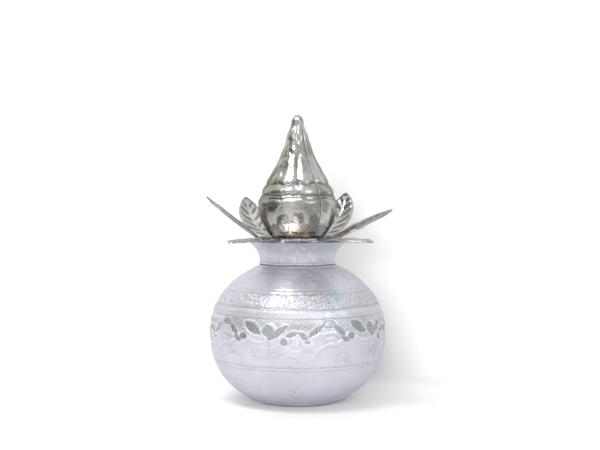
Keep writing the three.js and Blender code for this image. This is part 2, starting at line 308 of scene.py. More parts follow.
def spun(profile, steps):
    """Turns a closed profile of (radius, height) points about the pot's axis."""
    bm = bmesh.new()
    points = [bm.verts.new((radius * MM, 0, height * MM)) for radius, height in profile]
    edges = [bm.edges.new(pair) for pair in zip(points, points[1:] + points[:1])]
    turn_about_axis(bm, points + edges, steps)
    return bm


def mesh_of(name, bm):
    mesh = bpy.data.meshes.new(name)
    bm.to_mesh(mesh)
    bm.free()
    return mesh


def points_of(mesh):
    """The mesh's points in millimetres."""
    flat = np.empty(3 * len(mesh.vertices))
    mesh.vertices.foreach_get("co", flat)
    return flat.reshape(-1, 3) / MM


def set_points(mesh, points):
    mesh.vertices.foreach_set("co", (points * MM).astype(np.float32).ravel())
    mesh.update()


def push(mesh, heights):
    """Moves each point along its normal by so many millimetres."""
    flat = np.empty(3 * len(mesh.vertices))
    mesh.vertices.foreach_get("normal", flat)
    set_points(mesh, points_of(mesh) + flat.reshape(-1, 3) * heights[:, None])


def grid_sheet(name, along, across):
    """A flat grid as a mesh, with each point's share of its length and its side from -1 to 1."""
    bm = bmesh.new()
    bmesh.ops.create_grid(bm, x_segments=along, y_segments=across, size=1)
    mesh = mesh_of(name, bm)
    grid = points_of(mesh) * MM
    return mesh, (grid[:, 0] + 1) / 2, grid[:, 1]


def merge_points(mesh, closer_than, outwards=False):
    """Makes points that lie together one, and can turn the faces outwards."""
    bm = bmesh.new()
    bm.from_mesh(mesh)
    bmesh.ops.remove_doubles(bm, verts=bm.verts, dist=closer_than)
    if outwards:
        bmesh.ops.recalc_face_normals(bm, faces=bm.faces)
    bm.to_mesh(mesh)
    bm.free()


def paint(mesh, label, values):
    attribute = mesh.attributes.new(label, "FLOAT", "POINT")
    attribute.data.foreach_set("value", np.asarray(values, np.float32))


def unevenness(points, size, seed):
    """Smooth hand-made unevenness from -1 to 1 at each point, with waves of about that size."""
    draw = np.random.default_rng(int(seed * 10))
    ways = draw.normal(size=(WAVES, 3))
    ways *= (draw.uniform(0.6, 1.5, WAVES) / np.linalg.norm(ways, axis=1))[:, None]
    starts = draw.uniform(0, 2 * math.pi, WAVES)
    total = sum(np.sin(points @ way * 2 * math.pi / size + start) for way, start in zip(ways, starts))
    return total / math.sqrt(2 * WAVES)


def added(name, data):
    obj = bpy.data.objects.new(name, data)
    bpy.context.collection.objects.link(obj)
    return obj


def put(name, mesh, material, body, nodes, sharp=40):
    """Shows a finished mesh in place of the solids that it stands for."""
    piece = added(name, mesh)
    mesh.materials.append(material)
    mesh.shade_smooth()
    mesh.set_sharp_from_angle(angle=math.radians(sharp))
    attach(piece, body)
    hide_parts(*nodes)
    return piece


def thicken(piece, thickness):
    """Gives a surface its sheet's thickness, in millimetres, behind its face."""
    sheet = piece.modifiers.new("sheet", "SOLIDIFY")
    sheet.thickness = thickness * MM
    sheet.offset = -1


def pointed_oval(u, v, start, end, width):
    """How far inside a pointed oval from start to end each place is, in millimetres."""
    length = math.dist(start, end)
    along = ((end[0] - start[0]) / length, (end[1] - start[1]) / length)
    x = (u - start[0]) * along[0] + (v - start[1]) * along[1]
    y = (v - start[1]) * along[0] - (u - start[0]) * along[1]
    share = np.clip(x / length, 0, 1)
    beyond = np.maximum(np.abs(x - length / 2) - length / 2, 0)
    return width / 2 * (4 * share * (1 - share)) ** 0.8 - np.abs(y) - beyond


def round_oval(u, v, centre, across, tall):
    """How far inside an ellipse each place is, in millimetres."""
    reach = np.hypot((u - centre[0]) / (across / 2), (v - centre[1]) / (tall / 2))
    return (1 - reach) * min(across, tall) / 2


def from_arc(u, v, centre, radius, start, end):
    """Distance from part of a circle, and how far along it, both in millimetres. Degrees anticlockwise."""
    turn = np.degrees(np.arctan2(v - centre[1], u - centre[0]))
    off_middle = (turn - (start + end) / 2 + 180) % 360 - 180
    beyond = np.radians(np.maximum(np.abs(off_middle) - (end - start) / 2, 0)) * radius
    away = np.hypot(u - centre[0], v - centre[1]) - radius
    return np.hypot(away, beyond), np.radians(off_middle) * radius


def from_curve(u, v, bends):
    """Distance from a smooth curve through a few bends, in millimetres."""
    nearest = np.full(u.shape, np.inf)
    for i in range(len(bends) - 1):
        ends = [bends[max(i - 1, 0)], bends[i], bends[i + 1], bends[min(i + 2, len(bends) - 1)]]
        a, b, c, d = (np.array(end, float) for end in ends)
        for share in np.linspace(0, 1, 10):
            square = (2 * a - 5 * b + 4 * c - d) * share**2
            cube = (3 * b - a - 3 * c + d) * share**3
            x, y = 0.5 * (2 * b + (c - a) * share + square + cube)
            nearest = np.minimum(nearest, np.hypot(u - x, v - y))
    return nearest


def ornament(turn, height):
    """Relief of the vine in millimetres, and where it is pressed in, raised and combed."""
    per_degree = math.radians(1) * BELLY_RADIUS
    repeat = 360 / REPEATS
    deepest = np.full(turn.shape, -9.0)
    raised = np.zeros(turn.shape)
    scored = np.zeros(turn.shape)
    combed = np.zeros(turn.shape)
    start = ((turn - ARCH_TURN + repeat / 2) % repeat - repeat / 2) * per_degree
    for shift in (0, repeat * per_degree):
        u, v = start + shift, height
        for begin, end, width in HOLLOW_LEAVES:
            deepest = np.maximum(deepest, pointed_oval(u, v, begin, end, width))
        for centre, across, tall in BERRIES + PETALS:
            deepest = np.maximum(deepest, round_oval(u, v, centre, across, tall))
        for bends in (STEM, CURL):
            away = from_curve(u, v, bends)
            raised = np.maximum(raised, bump_at(away, 0.62))
            scored = np.maximum(scored, 0.8 * bump_at(away - 1.05, 0.32))
        for centre, radius, begin, end, pitch in BEADS:
            away, along = from_arc(u, v, centre, radius, begin, end)
            spaced = 0.5 + 0.5 * np.cos(2 * math.pi * along / pitch)
            raised = np.maximum(raised, bump_at(away, 0.75) * spaced)
        for centre, radius, begin, end in CRESTS:
            raised = np.maximum(raised, 0.8 * bump_at(from_arc(u, v, centre, radius, begin, end)[0], 0.55))
        for centre, radius, begin, end in FAINT_ARCS:
            scored = np.maximum(scored, bump_at(from_arc(u, v, centre, radius, begin, end)[0], 0.45))
        away, along = from_arc(u, v, SWAG, 16.6, -115, -60)
        fringe = soft_step(-away, -2.2, -1.2) * (0.5 + 0.5 * np.cos(2 * math.pi * along / 1.35))
        scored = np.maximum(scored, 0.8 * fringe)
        for left, right, foot, head, share in COMBED:
            field = soft_step(u, left, left + 4) * soft_step(-u, -right, 5 - right)
            field = field * soft_step(v, foot, foot + 1.4) * soft_step(-v, -head, 1.1 - head)
            combed = np.maximum(combed, share * field)
    low = soft_step(deepest, -0.15, 0.45)
    rim = bump_at(deepest + 0.5, 0.42)
    within = soft_step(height, STRIP_LOW, STRIP_LOW + 0.5) * soft_step(-height, -STRIP_HIGH, 0.4 - STRIP_HIGH)
    raised = np.maximum(raised * (1 - low), 0.75 * rim)
    scored = scored * (1 - low)
    relief = within * (0.4 * raised - 0.36 * low - 0.26 * scored)
    plain = within * (1 - low) * (1 - raised)
    return relief, within * np.maximum(low, 0.4 * scored), raised * within, combed * plain


def turned_lines(height, lines):
    """Depth of the turned lines at a height."""
    return sum(depth * bump_at(height - at, half) for at, depth, half in lines)


def around(points):
    """Turn from the front in degrees, and radius, of each point."""
    return np.degrees(np.arctan2(points[:, 0], -points[:, 1])), np.hypot(points[:, 0], points[:, 1])


def belly(material):
    """The spun lower bowl with the vine raised round it, down to its lip inside the shoulder's skirt."""
    ledge = LAP_HEIGHT - POT_WALL
    inset = POT_WALL + JOINT_GAP
    below = body_line(BASE_THICKNESS, STRIP_LOW - 3.4, 1.0)
    band = body_line(STRIP_LOW - 3.4, LAP_HEIGHT, 0.42)
    inner = inside(body_line(BASE_THICKNESS, ledge, 3.5), POT_WALL)
    floor_height = BASE_THICKNESS + POT_WALL
    wall = [(radius, height) for radius, height in inner if height > floor_height + POT_WALL]
    lip = [
        (float(body_radius(LAP_HEIGHT)) - inset, LAP_HEIGHT),
        (float(body_radius(LAP_TOP)) - inset, LAP_TOP),
        (float(body_radius(LAP_TOP)) - inset - POT_WALL, LAP_TOP),
        (float(body_radius(ledge)) - inset - POT_WALL, ledge),
    ]
    floor_radius = float(body_radius(floor_height + POT_WALL)) - 2 * POT_WALL
    floor_line = [(floor_radius, floor_height), (0, floor_height)]
    profile = [(0, BASE_THICKNESS)] + below[:-1] + band + lip + wall[::-1][1:] + floor_line
    mesh = mesh_of("pot_belly", spun(profile, BELLY_STEPS))
    points = points_of(mesh)
    turn, radius = around(points)
    height = points[:, 2]
    outside = radius > body_radius(height) - 0.1
    outside = outside & (height > BASE_THICKNESS + 0.5) & (height < LAP_HEIGHT - 0.2)
    strip = outside & (height > STRIP_LOW) & (height < STRIP_HIGH)
    marks = np.zeros((4, len(points)))
    marks[:, strip] = ornament(turn[strip], height[strip])
    relief, low, high, combed = marks
    worn = 0.10 * unevenness(points, 14, 1) + 0.05 * unevenness(points, 5, 2)
    worn = worn * soft_step(-height, 0.4 - LAP_HEIGHT, 3 - LAP_HEIGHT)
    lines = turned_lines(height, LOW_LINES)
    room = BELLY_RADIUS + BELLY_PROUD - body_radius(height)
    push(mesh, outside * np.minimum(relief - lines + worn, room))
    paint(mesh, "low", outside * np.maximum(low, 2.2 * lines))
    paint(mesh, "high", high)
    paint(mesh, "combed", combed)
    field = soft_step(height + 1.5 * unevenness(points, 12, 7), 38, 45)
    paint(mesh, "field", outside * field * (1 - low))
    left, right, foot, head = SMOOTH_PLACE
    smooth = soft_step(turn, left - 4, left) * soft_step(-turn, -right - 4, -right)
    smooth = smooth * soft_step(height, foot - 2, foot) * soft_step(-height, -head - 1, -head)
    paint(mesh, "creased", outside * (1 - field) * (1 - smooth))
    paint(mesh, "stippled", outside * (0.12 + 0.1 * field * (1 - low)))
    put("pot_belly", mesh, material, "pot", ["belly_bowl"])


def shoulder(material):
    """The spun upper shell: a rounded skirt over the lap, turned lines, and a stub inside the collar."""
    stub = NECK_RADIUS - POT_WALL - JOINT_GAP
    stub_foot = SHOULDER_TOP + POT_WALL
    stub_top = stub_foot + NECK_STUB_HEIGHT
    skirt_foot = LAP_HEIGHT + JOINT_GAP
    outer = body_line(skirt_foot, SHOULDER_TOP, 0.5)
    inner = inside(body_line(LAP_TOP + JOINT_GAP + POT_WALL, SHOULDER_TOP, 3), POT_WALL)
    inner = [(radius, height) for radius, height in inner if radius > stub - POT_WALL]
    under = [
        (float(body_radius(skirt_foot)) - POT_WALL, skirt_foot),
        (float(body_radius(LAP_TOP)) - POT_WALL, LAP_TOP),
    ]
    top = [(stub - POT_WALL, SHOULDER_TOP), (stub - POT_WALL, stub_top), (stub, stub_top), (stub, stub_foot)]
    profile = outer + [(float(outer[-1][0]) - 0.1, stub_foot - 0.3)] + top[::-1] + inner[::-1] + under[::-1]
    mesh = mesh_of("pot_shoulder", spun(profile, SHOULDER_STEPS))
    points = points_of(mesh)
    turn, radius = around(points)
    height = points[:, 2]
    outside = (radius > body_radius(height) - 0.1) & (height <= SHOULDER_TOP + 0.01)
    band = np.clip((height - skirt_foot) / (LAP_TOP - skirt_foot), 0, 1)
    on_band = soft_step(-height, -LAP_TOP - LAP_GROOVE, -LAP_TOP)
    proud = SKIRT_PROUD * (1 + np.sin(math.pi * band)) * on_band
    groove = 0.3 * bump_at(height - LAP_TOP - LAP_GROOVE, 0.5)
    lines = turned_lines(height, SHOULDER_LINES)
    rough = soft_step(height, LAP_TOP, LAP_TOP + 2) * soft_step(-height, -66.5, -63)
    hammered = 0.15 * unevenness(points, 3.6, 4) + 0.07 * unevenness(points, 1.7, 5)
    neck_foot = soft_step(height, 67, 70)
    dents = 0.12 * unevenness(points, 9, 3) + rough * hammered
    dents = dents + neck_foot * (0.10 * unevenness(points, 4.5, 8) + 0.04 * unevenness(points, 2, 9))
    dents = dents * soft_step(height, skirt_foot, skirt_foot + 1)
    dots = (0.5 + 0.5 * np.cos(np.radians(turn) * BAND_DOTS)) * bump_at(height - skirt_foot - DOT_RISE, 0.5)
    dots = dots * (0.35 + 0.65 * bump_at(turn + 20, 40))
    push(mesh, outside * (proud - groove - lines + dents - DOT_DEPTH * dots))
    worn = rough * bump_at(turn - 14, 22)
    on_left = bump_at(turn + 55, 40)
    paint(mesh, "low", outside * np.clip(2.2 * (lines + groove) + 0.7 * dots, 0, 1))
    paint(mesh, "combed", outside * on_band * (0.2 + 0.8 * on_left))
    # Bright along the lap band's crest and on the tops of the hammered dents: worn metal, and painted
    # highlight.
    paint(mesh, "high", outside * np.maximum(0.6 * np.sin(math.pi * band) * on_band, 3 * rough * hammered))
    paint(mesh, "stippled", outside * (0.25 + 0.45 * rough + 0.6 * worn))
    paint(mesh, "field", outside * 0.8 * rough)
    paint(mesh, "creased", outside * (1 - rough) * 0.9)
    put("pot_shoulder", mesh, material, "pot", ["shoulder_shell"])


def collar(material):
    """The neck: a thin roll round its foot, a waist, and the flared mouth with a flat rim."""
    waist = COLLAR_FOOT + NECK_WAIST_RISE
    shares = np.linspace(0, 1, 26)
    radii = NECK_RADIUS + (RIM_RADIUS - NECK_RADIUS) * shares**MOUTH_FLARE
    mouth = list(zip(radii, waist + (POT_HEIGHT - waist) * shares))
    roll = []
    for share in np.linspace(0, 1, 9):
        roll.append((NECK_RADIUS + 0.35 * math.sin(math.pi * share) ** 0.7, COLLAR_FOOT + 1.2 * share))
    throat = inside(mouth, POT_WALL)[:-1]
    rim = [
        (RIM_RADIUS - 0.04, POT_HEIGHT - 0.12),
        (RIM_RADIUS - 0.14, POT_HEIGHT),
        (RIM_RADIUS - RIM_LAND, POT_HEIGHT),
    ]
    foot = [(NECK_RADIUS - POT_WALL, COLLAR_FOOT)]
    profile = roll + mouth[:-1] + rim + throat[::-1] + foot
    mesh = mesh_of("pot_collar", spun(profile, COLLAR_STEPS))
    points = points_of(mesh)
    turn, radius = around(points)
    height = points[:, 2]
    free = soft_step(height, COLLAR_FOOT + 0.5, COLLAR_FOOT + 3)
    free = free * soft_step(-height, 0.6 - POT_HEIGHT, 3 - POT_HEIGHT)
    outside = radius > NECK_RADIUS - 0.1
    creases = np.maximum(bump_at(height - COLLAR_FOOT - 1.5, 0.35), bump_at(height - COLLAR_FOOT, 0.3))
    push(mesh, outside * free * (0.10 * unevenness(points, 8, 6) + 0.05 * unevenness(points, 3, 10)))
    # Painted highlights: bright flecks round the front of the mouth.
    painted_highlight_flecks = soft_step(unevenness(points, 5, 14), -0.2, 0.8) * bump_at(turn - 4, 26) * free
    paint(mesh, "creased", outside * 0.8)
    paint(mesh, "low", outside * creases)
    paint(mesh, "high", outside * np.maximum(0.5 * bump_at(height - COLLAR_FOOT - 0.6, 0.4), painted_highlight_flecks))
    paint(mesh, "stippled", outside * 0.15)
    put("pot_collar", mesh, material, "pot", ["neck_collar"])


def base(material):
    """The flat disc that the pot stands on, with a rounded edge, darkened all over as a painted contact
    shadow.
    """
    edge = []
    for angle in np.linspace(-90, 0, 5):
        lean = math.radians(angle)
        edge.append((BASE_RADIUS - 0.3 + 0.3 * math.cos(lean), 0.3 + 0.3 * math.sin(lean)))
    profile = [(0, 0)] + edge + [(BASE_RADIUS, BASE_THICKNESS), (0, BASE_THICKNESS)]
    mesh = mesh_of("pot_base", spun(profile, BASE_STEPS))
    # Painted contact shadow: the whole disc takes the dark colour of pressed-in places.
    paint(mesh, "low", np.ones(len(mesh.vertices)))
    put("pot_base", mesh, material, "pot", ["base_disc"])


def ring(material):
    """The washer on the mouth that carries the leaves and holds the coconut."""
    middle = (RING_FOOT + RING_TOP) / 2
    profile = [
        (RING_HOLE_RADIUS, RING_FOOT + 0.1),
        (RING_HOLE_RADIUS + 0.1, RING_FOOT),
        (RING_RADIUS - 0.2, RING_FOOT),
        (RING_RADIUS, middle),
        (RING_RADIUS - 0.2, RING_TOP),
        (RING_HOLE_RADIUS + 0.1, RING_TOP),
        (RING_HOLE_RADIUS, RING_TOP - 0.1),
    ]
    mesh = mesh_of("mouth_ring", spun(profile, RING_STEPS))
    put("mouth_ring", mesh, material, "leaf_set", ["leaf_ring"])


def leaf_half_width(share):
    back = np.clip((LEAF_WIDEST_AT - share) / LEAF_WIDEST_AT, 0, 1)
    ahead = np.clip((share - LEAF_WIDEST_AT) / (1 - LEAF_WIDEST_AT), 0, 1)
    near = LEAF_HALF_WIDTH - (LEAF_HALF_WIDTH - LEAF_ROOT_HALF_WIDTH) * back**2
    return np.where(share < LEAF_WIDEST_AT, near, LEAF_HALF_WIDTH * (1 - ahead**LEAF_TIP_FULLNESS))


def leaf_relief(share, side, cupped):
    """Pressed relief in millimetres along the leaf, where side is 0 on the midrib and 1 at the edge."""
    across = np.abs(side) * leaf_half_width(share)
    ends = np.clip(np.minimum(share * 5, (1 - share) * 6), 0, 1)
    foot = share.copy()
    for _ in range(4):
        foot = share - RIB_RAKE * np.abs(side) * 4 * foot * (1 - foot)
    wave = 0.5 + 0.5 * np.cos(2 * math.pi * (foot * (LEAF_RIBS + 0.5) - 0.5))
    field = soft_step(across, 0.5, 1.6) * soft_step(-np.abs(side), -BORDER_FROM, 0.12 - BORDER_FROM)
    ribs = RIB_HEIGHT * wave**1.3 * field * ends
    midrib = MIDRIB_HEIGHT * bump_at(across, 0.75) * ends
    beside = soft_step(np.abs(side), BORDER_FROM, BORDER_FROM + 0.06)
    border = np.maximum(beside, soft_step(share, 0.955, 0.975)) * np.clip(share * 6, 0, 1)
    cup = cupped * side**2 * np.sin(math.pi * share)
    return ribs + midrib + border * BORDER_HEIGHT, cup, field * (1 - wave) ** 2 * ends, border


def leaf(name, turn, lift, curl, painted_leaf_shade, cupped, material):
    """A pressed leaf with a border, a midrib and raked ribs, bent up by hand, with its tab on the ring."""
    mesh, part, side = grid_sheet(name, *LEAF_GRID)
    share = (part * (LEAF_LENGTH + LEAF_TAB_LENGTH) - LEAF_TAB_LENGTH) / LEAF_LENGTH
    blade = np.clip(share, 0, 1)
    relief, cup, low, border = leaf_relief(blade, side, cupped)
    start, bend = math.radians(lift), math.radians(curl)
    tilt = np.where(share < 0, 0, start + bend * blade)
    along = LEAF_LENGTH / bend * (np.sin(start + bend * blade) - math.sin(start))
    along = along + LEAF_LENGTH * np.minimum(share, 0)
    up = LEAF_LENGTH / bend * (math.cos(start) - np.cos(start + bend * blade))
    tab = np.clip(-share * LEAF_LENGTH / LEAF_TAB_LENGTH, 0, 1)
    tab_width = LEAF_ROOT_HALF_WIDTH + (LEAF_TAB_HALF_WIDTH - LEAF_ROOT_HALF_WIDTH) * tab
    width = np.where(share < 0, tab_width, leaf_half_width(blade))
    rise = (relief + cup) * soft_step(share, 0, 0.08) + LEAF_SHEET
    local = np.stack([along - np.sin(tilt) * rise, side * width, up + np.cos(tilt) * rise], axis=1)
    seed = turn / 10
    uneven = 0.22 * unevenness(local, 11, seed) + 0.1 * unevenness(local, 4, seed + 1)
    local[:, 2] += uneven * soft_step(share, 0.05, 0.3)
    local[:, 0] += RING_RADIUS - LEAF_ROOT_INSET - TIP_CLEARANCE * soft_step(share, 0.5, 1)
    local[:, 2] += RING_TOP + JOINT_GAP
    angle = math.radians(turn - 90)
    x = local[:, 0] * math.cos(angle) - local[:, 1] * math.sin(angle)
    y = local[:, 0] * math.sin(angle) + local[:, 1] * math.cos(angle)
    set_points(mesh, np.stack([x, y, local[:, 2]], axis=1))
    paint(mesh, "low", low)
    paint(mesh, "high", np.maximum(border, 0.7 * bump_at(side * width, 0.6)))
    rubbed_edge = 0.4 if abs(lift) < 1 else 1.0
    edge = np.maximum(soft_step(np.abs(side), 0.8, 0.93), soft_step(share, 0.88, 0.97))
    paint(mesh, "edge", rubbed_edge * edge)
    # Painted shade: the leaf's own share of darkening, the same all over it.
    paint(mesh, "painted_leaf_shade", np.full(len(share), painted_leaf_shade))
    merge_points(mesh, 2 * SAME_POINT)
    piece = put("pressed_" + name, mesh, material, "leaf_set", [name], sharp=70)
    thicken(piece, LEAF_SHEET)


def coconut_profile(height):
    """Coconut radius at a height, without its flutes."""
    rise = height - COCONUT_WIDEST
    below = COCONUT_RADIUS * superellipse(np.clip(-rise, 0, None) / COCONUT_DROP, COCONUT_FULLNESS)
    share = np.clip(rise / SPIRE_RISE, 0, 1)
    bell = (1 + np.cos(math.pi * share**SPIRE_TAPER)) / 2
    above = SPIRE_RADIUS + (COCONUT_RADIUS - SPIRE_RADIUS) * bell
    above = above + SPIRE_SWELL * bump_at(share - SPIRE_SWELL_AT, 0.2)
    above = above - TIP_THINNING * soft_step(share, 0.86, 1)
    round_tip = superellipse(np.clip(height - SPIRE_TOP, 0, None) / TIP_LENGTH, 2)
    return np.where(rise <= 0, below, above * round_tip)


def coconut_surface(turn, height):
    """Radius of the fluted coconut at a turn and a height, and where it is pressed in or raised."""
    rise = height - COCONUT_WIDEST
    lobe = np.sqrt(np.sin(np.radians(turn) * FLUTES / 2) ** 2 + FLUTE_SOFTNESS)
    lobe = (lobe - math.sqrt(FLUTE_SOFTNESS)) / (math.sqrt(1 + FLUTE_SOFTNESS) - math.sqrt(FLUTE_SOFTNESS))
    below = np.clip(1 + rise / FLUTE_FADE_DROP, 0, 1)
    above = np.clip(1.8 * (COCONUT_TIP - height) / (COCONUT_TIP - COCONUT_WIDEST), 0, 1)
    strength = np.where(rise < 0, below, above) * (0.25 + 0.75 * soft_step(rise, 8, 17))
    deep = np.zeros(turn.shape)
    for middle in DEEP_FLUTES:
        deep = np.maximum(deep, bump_at((turn - middle + 180) % 360 - 180, 13))
    strength = strength * (FAINT_FLUTE + (1 - FAINT_FLUTE) * deep)
    round_turn = np.radians(turn)
    wander = 0.4 * np.sin(3 * round_turn + 1) + 0.3 * np.sin(8 * round_turn + 2)
    wander = wander + 0.2 * np.sin(17 * round_turn)
    high_groove = bump_at(rise - GROOVE_HIGH_RISE - GROOVE_SCALLOP * (1 - lobe) - wander, 0.8)
    low_groove = bump_at(rise - GROOVE_LOW_RISE - 0.5 * wander, 0.65)
    step = bump_at(rise - STEP_RISE - 0.7 * wander, 0.45)
    bands = sum(bump_at(rise - at - 0.5 * wander, 1.5) for at in BAND_RISES)
    over = rise - GROOVE_HIGH_RISE
    drape = soft_step(over, 0, 2.5) * np.clip(1 - over / 15, 0, 1)
    radius = coconut_profile(height) - FLUTE_DEPTH * (1 - lobe) * strength
    radius = radius - 0.65 * high_groove - 0.6 * low_groove - 0.2 * step
    radius = radius + BAND_BULGE * bands + 0.3 * drape * lobe * strength
    valley = 0.6 * bump_at(lobe, 0.2) * strength
    low = np.clip(0.8 * high_groove + low_groove + 0.5 * step + valley, 0, 1)
    return radius, low, np.clip(0.5 * bands, 0, 1)


def coconut_shell():
    """The whole coconut's outside, from its bottom to its tip."""
    fine = np.linspace(COCONUT_BOTTOM, COCONUT_TIP, 4000)
    along = lengths_along(fine, coconut_profile(fine))
    heights = np.interp(np.linspace(0, along[-1], COCONUT_RINGS), along, fine)
    profile = list(zip(coconut_profile(heights), heights))
    profile[0] = (0, COCONUT_BOTTOM)
    profile[-1] = (0, COCONUT_TIP)
    bm = bmesh.new()
    verts = [bm.verts.new((radius * MM, 0, height * MM)) for radius, height in profile]
    edges = [bm.edges.new(pair) for pair in zip(verts, verts[1:])]
    turn_about_axis(bm, verts + edges, COCONUT_STEPS)
    mesh = mesh_of("coconut_shell", bm)
    points = points_of(mesh)
    turn, radius = around(points)
    height = points[:, 2]
    surface, low, high = coconut_surface(turn, height)
    free = soft_step(height, RING_TOP + 1.5, RING_TOP + 5) * soft_step(-height, -COCONUT_TIP, 3 - COCONUT_TIP)
    front = bump_at(turn, 42)
    mirror = soft_step(-height, -COCONUT_WIDEST, 5 - COCONUT_WIDEST) * front
    beside_seam = bump_at(turn - 58, 18)
    calm = (1 - 0.85 * mirror) * (1 - 0.6 * beside_seam)
    uneven = 0.13 * unevenness(points, 9, 11) + 0.09 * unevenness(points, 3.4, 12)
    surface = surface + free * calm * (uneven + 0.05 * unevenness(points, 1.6, 13))
    scale = np.where(radius > 1e-6, surface / np.maximum(radius, 1e-6), 0)
    points[:, 0] *= scale
    points[:, 1] *= scale
    set_points(mesh, points)
    # Darker in a band where the coconut sits in the ring: tarnish in the joint, and painted shade under the
    # leaves.
    seat = bump_at(height - RING_TOP, 1.6)
    paint(mesh, "low", np.maximum(low, seat))
    # Bright on the two raised bands below the spire: worn metal, and painted highlight.
    paint(mesh, "high", high)
    paint(mesh, "mirror", mirror)
    paint(mesh, "stippled", 0.7 * (1 - mirror) * (1 - beside_seam))
    return mesh


def coconut(material):
    """Two half shells on each side of the seam, and the bead of solder along it."""
    shell = coconut_shell()
    across = Matrix.Rotation(math.radians(SEAM_TURN - 90), 3, "Z") @ Vector((0, 1, 0))
    for name, node, facing in (("front", "coconut_front_half", 1), ("back", "coconut_back_half", -1)):
        bm = bmesh.new()
        bm.from_mesh(shell)
        bmesh.ops.bisect_plane(
            bm,
            geom=bm.verts[:] + bm.edges[:] + bm.faces[:],
            dist=1e-7,
            plane_co=-across * facing * JOINT_GAP / 2 * MM,
            plane_no=across * facing,
            clear_outer=True,
        )
        mesh = mesh_of("coconut_" + name, bm)
        piece = put("coconut_shell_" + name, mesh, material, "coconut", [node], sharp=60)
        thicken(piece, COCONUT_WALL)
    bpy.data.meshes.remove(shell)
    seam(material)


def seam(material):
    """A bead of solder along the seam on both sides of the coconut, let halfway into the sheet."""
    foot = RING_TOP + 3
    head = COCONUT_TIP - 3.5
    for name, turn in (("right", SEAM_TURN), ("left", SEAM_TURN + 180)):
        mesh, share, side = grid_sheet("coconut_seam_" + name, *SEAM_GRID)
        lean = side * math.pi
        height = foot + (head - foot) * share
        radius = coconut_surface(np.full(share.shape, turn), height)[0]
        thick = 0.42 * np.sqrt(np.clip(np.minimum(share, 1 - share) * 12, 0, 1))
        out = radius + 0.06 + thick * np.cos(lean)
        aside = thick * np.sin(lean)
        angle = math.radians(turn)
        x = out * math.sin(angle) + aside * math.cos(angle)
        y = -out * math.cos(angle) + aside * math.sin(angle)
        set_points(mesh, np.stack([x, y, height], axis=1))
        merge_points(mesh, SAME_POINT, outwards=True)
        put("coconut_seam_" + name, mesh, material, "coconut", [])


def wire(tree, value, socket):
    """Puts a number, a colour or another node's output into a socket."""
    if isinstance(value, bpy.types.NodeSocket):
        tree.links.new(value, socket)
    else:
        socket.default_value = value


def place(tree, kind, inputs=None, **settings):
    """A shader node with its settings, and its inputs set or wired."""
    made = tree.nodes.new("ShaderNode" + kind)
    for setting, value in settings.items():
        setattr(made, setting, value)
    for label, value in (inputs or {}).items():
        wire(tree, value, made.inputs[label])
    return made


def reckon(tree, operation, first, second=0.0):
    return place(tree, "Math", {0: first, 1: second}, operation=operation).outputs[0]


def times(tree, first, second):
    return reckon(tree, "MULTIPLY", first, second)


def plus(tree, first, second):
    return reckon(tree, "ADD", first, second)


def own_place(tree):
    """Where on the piece a point lies, in metres."""
    return place(tree, "TexCoord").outputs["Object"]


def spread(tree, value, low, high, to_low=0.0, to_high=1.0):
    inputs = {"Value": value, "From Min": low, "From Max": high, "To Min": to_low, "To Max": to_high}
    return place(tree, "MapRange", inputs).outputs["Result"]


def mixed(tree, share, first, second):
    return place(tree, "MixRGB", {"Fac": share, "Color1": first, "Color2": second}).outputs["Color"]


def masked(tree, label):
    return place(tree, "Attribute", attribute_name=label).outputs["Fac"]


def node_group(name, inputs, outputs):
    """An empty shader group with these inputs and outputs, and its two end nodes."""
    group = bpy.data.node_groups.new(name, "ShaderNodeTree")
    for label, value in inputs.items():
        socket = group.interface.new_socket(label, in_out="INPUT", socket_type="NodeSocketFloat")
        socket.default_value = value
    for label in outputs:
        group.interface.new_socket(label, in_out="OUTPUT", socket_type="NodeSocketFloat")
    return group, group.nodes.new("NodeGroupInput").outputs, group.nodes.new("NodeGroupOutput").inputs


def grouped(tree, name, inputs):
    """A shared effect with this material's own values."""
    made = place(tree, "Group", node_tree=bpy.data.node_groups[name])
    for label, value in inputs.items():
        wire(tree, value, made.inputs[label])
    return made.outputs


def beaten_group():
    """Hand-beaten sheet: fine grain, pits, and clouds of tarnish at two sizes."""
    inputs = {"Grain Scale": 1300.0, "Cloud Scale": 40.0}
    group, given, result = node_group("beaten_sheet", inputs, ["Grain", "Pits", "Cloud", "Patches"])
    where = own_place(group)
    grain = place(group, "TexNoise", {"Vector": where, "Scale": given["Grain Scale"], "Detail": 3.0})
    pit_scale = times(group, given["Grain Scale"], 0.6)
    pits = place(group, "TexVoronoi", {"Vector": where, "Scale": pit_scale})
    cloud = place(group, "TexNoise", {"Vector": where, "Scale": given["Cloud Scale"], "Detail": 6.0})
    patch_scale = times(group, given["Cloud Scale"], 2.7)
    patches = place(group, "TexNoise", {"Vector": where, "Scale": patch_scale, "Detail": 4.0})
    wire(group, grain.outputs["Fac"], result["Grain"])
    wire(group, spread(group, pits.outputs["Distance"], 0.5, 0.1), result["Pits"])
    wire(group, spread(group, cloud.outputs["Fac"], 0.36, 0.64), result["Cloud"])
    wire(group, spread(group, patches.outputs["Fac"], 0.45, 0.7), result["Patches"])


def round_axis(tree, where):
    """The turn round the axis in radians, and the height in metres."""
    split = place(tree, "SeparateXYZ", {0: where}).outputs
    return reckon(tree, "ARCTAN2", split["X"], split["Y"]), split["Z"]


def turning_group():
    """Fine uneven lines round the axis, as a spinner's tool leaves them."""
    group, given, result = node_group("turning_marks", {"Line Scale": 900.0}, ["Lines"])
    turn, height = round_axis(group, own_place(group))
    slow = times(group, turn, 0.0016)
    along = place(group, "CombineXYZ", {"X": slow, "Z": height}).outputs[0]
    lines = place(group, "TexNoise", {"Vector": along, "Scale": given["Line Scale"], "Detail": 2.0})
    wire(group, lines.outputs["Fac"], result["Lines"])


